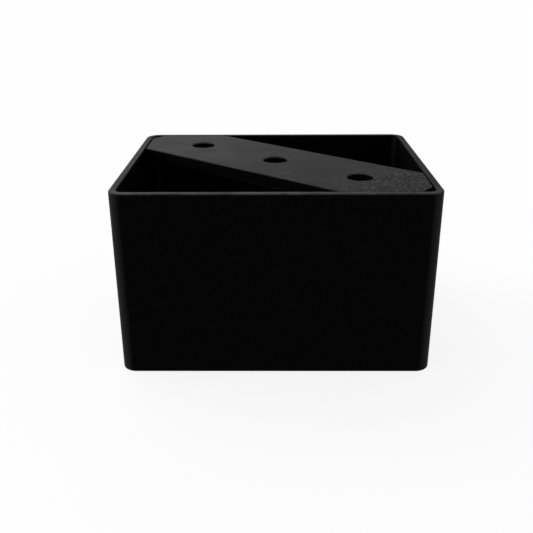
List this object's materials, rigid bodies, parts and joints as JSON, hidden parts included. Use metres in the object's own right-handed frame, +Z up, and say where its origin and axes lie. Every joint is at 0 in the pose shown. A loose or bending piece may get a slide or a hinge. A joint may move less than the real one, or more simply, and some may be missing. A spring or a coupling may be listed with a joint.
{
  "type": "box-section table leg",
  "caption": "Short open box-section steel furniture leg in matt black, with a drilled flat mounting strip welded across its diagonal, flush with the top rim.",
  "frame": {"origin": "on the floor, at the middle of the tube's plan", "axes": "+Z up, X along the tube's wider sides, front face towards -Y, strip from back left (-X, +Y) to front right (+X, -Y)"},
  "size_m": [0.1, 0.08, 0.06],
  "materials": {
    "tube_coat": "matt black powder coat, fine texture",
    "strip_coat": "matt black powder coat, fine texture",
    "weld_coat": "matt black powder coat over a weld bead"
  },
  "bodies": {
    "root": {"leg_tube": "tube_coat", "mounting_strip": "strip_coat", "weld_front": "weld_coat", "weld_right": "weld_coat", "weld_back": "weld_coat", "weld_left": "weld_coat"}
  },
  "joints": []
}
